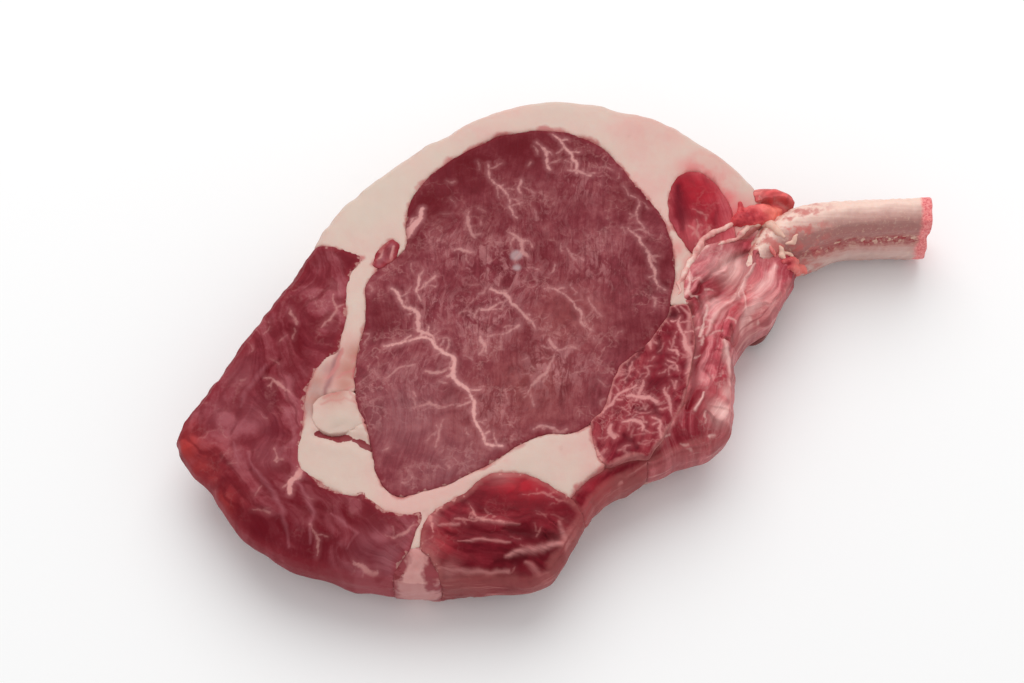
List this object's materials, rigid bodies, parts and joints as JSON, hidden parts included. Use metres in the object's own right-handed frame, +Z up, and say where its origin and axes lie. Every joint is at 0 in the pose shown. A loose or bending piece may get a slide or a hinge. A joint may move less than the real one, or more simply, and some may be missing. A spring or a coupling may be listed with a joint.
{
  "type": "raw tomahawk steak",
  "caption": "Raw bone-in rib steak lying flat on its cut side: a round red eye, wrapping muscles, a pale fat cover and a long bare rib handle.",
  "frame": {"origin": "centre of the bounding box's bottom face, on the surface the steak lies on", "axes": "+X runs out along the bare rib handle, +Y points to the fat cap, +Z is up out of the upper cut face"},
  "size_m": [0.2472, 0.1744, 0.0324],
  "materials": {
    "eye_muscle": "moist cut muscle with fine marbling",
    "outer_muscle": "moist coarse-grained muscle",
    "red_muscle": "wet deep red muscle",
    "fat": "satin cream to pink fat",
    "rib_meat": "streaky meat with shiny pale skin",
    "bone": "scraped damp bone",
    "dark_skin": "dark moist skin"
  },
  "bodies": {
    "root": {"rib_eye": "eye_muscle", "cap_muscle": "outer_muscle", "front_muscle": "red_muscle", "narrow_muscle": "red_muscle", "corner_muscle": "red_muscle", "rib_side_muscle": "outer_muscle", "rib_strip": "rib_meat", "small_muscle": "outer_muscle", "fat_cover": "fat", "fat_nub": "fat", "front_fat": "fat", "rib_bone": "bone", "handle_scrap": "red_muscle", "under_flap": "dark_skin"}
  },
  "joints": []
}
